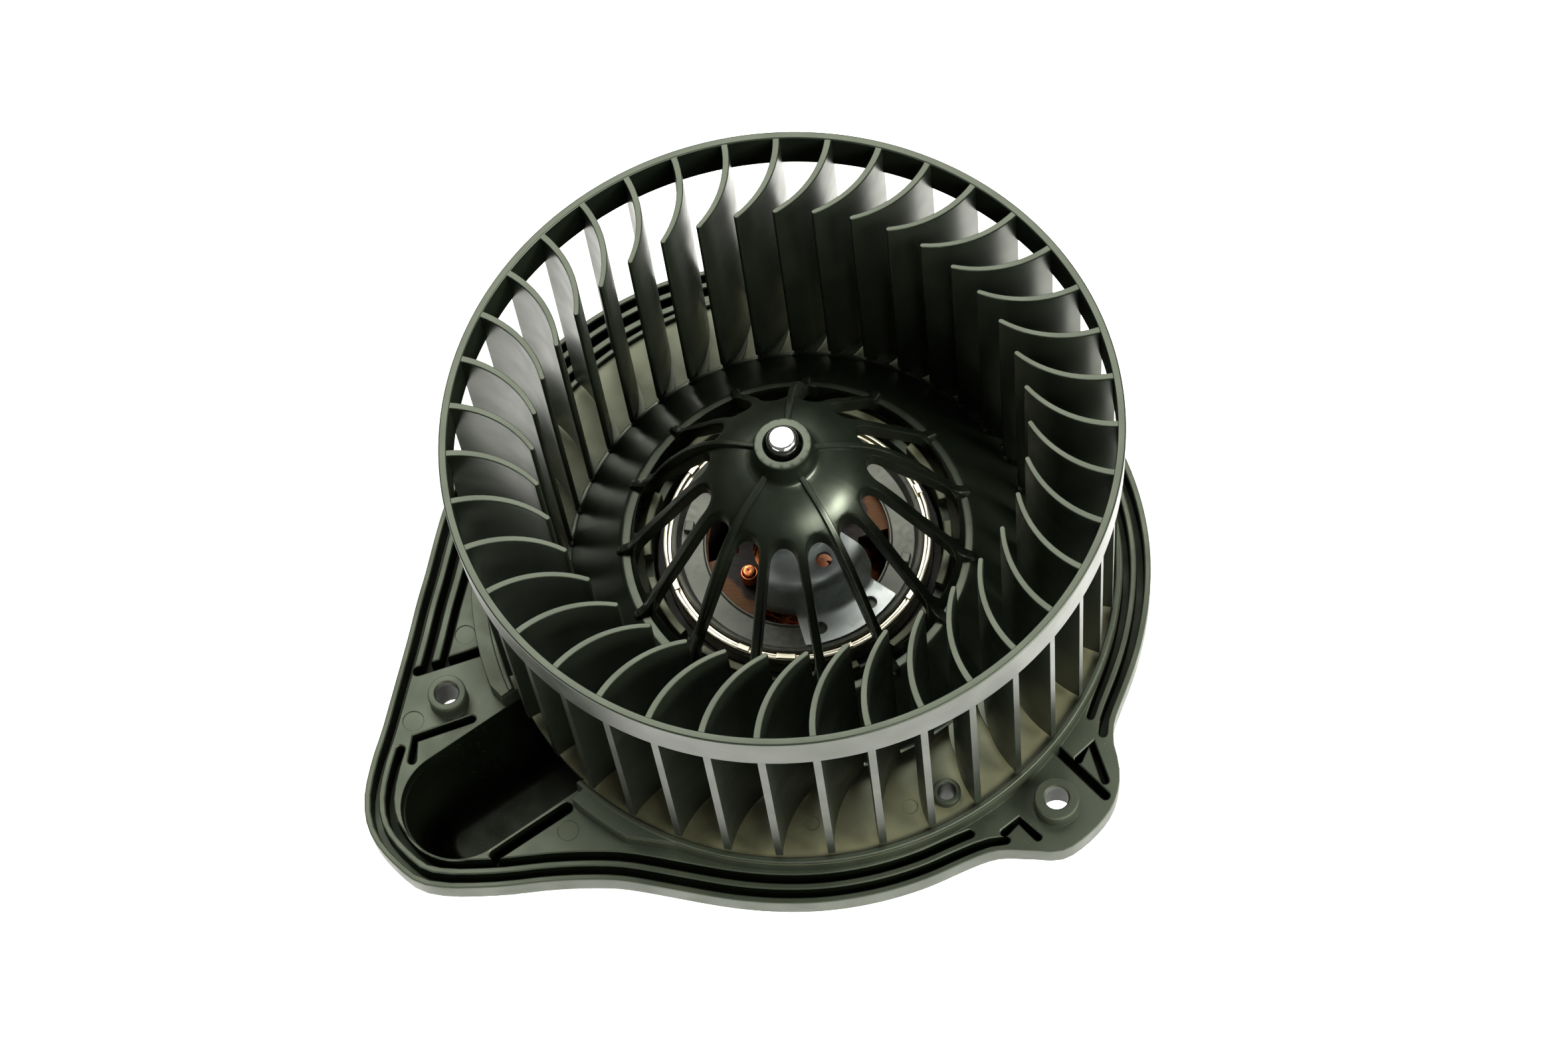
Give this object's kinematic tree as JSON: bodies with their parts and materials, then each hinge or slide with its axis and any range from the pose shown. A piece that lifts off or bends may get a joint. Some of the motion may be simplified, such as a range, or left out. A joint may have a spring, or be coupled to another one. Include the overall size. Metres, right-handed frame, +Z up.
{
  "type": "blower motor wheel",
  "caption": "Car heater blower: a bladed fan wheel on a small brushed motor, set in a flat mounting flange with a cooling duct.",
  "frame": {"origin": "on the axle, at the centre of the motor cover's flat base", "axes": "+Z up the axle towards the wheel's open end, +X to the right of the duct seen with the duct at the front left"},
  "size_m": [0.1959, 0.1819, 0.132],
  "materials": {
    "black_plastic": "satin moulded",
    "can_steel": "plated, drawn",
    "polished_steel": "ground",
    "zinc_plate": "zinc plated",
    "core_steel": "varnished stampings",
    "copper": "enamelled",
    "brass": "stamped",
    "bronze": "sintered",
    "ferrite": "pressed",
    "carbon": "pressed",
    "amber_resin": "resin board",
    "rubber": "matt"
  },
  "bodies": {
    "housing": {"mounting_flange": "black_plastic", "motor_cover": "black_plastic", "motor_can": "can_steel", "magnet_a": "ferrite", "magnet_b": "ferrite", "magnet_spring_a": "can_steel", "magnet_spring_b": "can_steel", "end_bracket": "zinc_plate", "upper_bearing": "bronze", "lower_bearing": "bronze", "upper_retainer": "polished_steel", "lower_retainer": "polished_steel", "brush_card": "amber_resin", "brush_holder_a": "brass", "brush_holder_b": "brass", "brush_a": "carbon", "brush_b": "carbon", "brush_spring_a": "polished_steel", "brush_spring_b": "polished_steel", "choke_a": "copper", "choke_b": "copper", "terminal_a": "brass", "terminal_b": "brass", "upper_isolator": "rubber", "lower_isolator": "rubber", "cover_screw_1": "polished_steel", "cover_screw_2": "polished_steel", "cover_screw_3": "polished_steel"},
    "rotor": {"impeller": "black_plastic", "shaft": "polished_steel", "armature_core": "core_steel", "armature_windings": "copper", "commutator": "copper", "thrust_washer_upper": "amber_resin", "thrust_washer_lower": "amber_resin"}
  },
  "joints": [
    {"name": "fan_spin", "type": "hinge", "parent": "housing", "child": "rotor", "pos_m": [0, 0, 0.05], "axis": [0, 0, 1], "continuous": true}
  ]
}
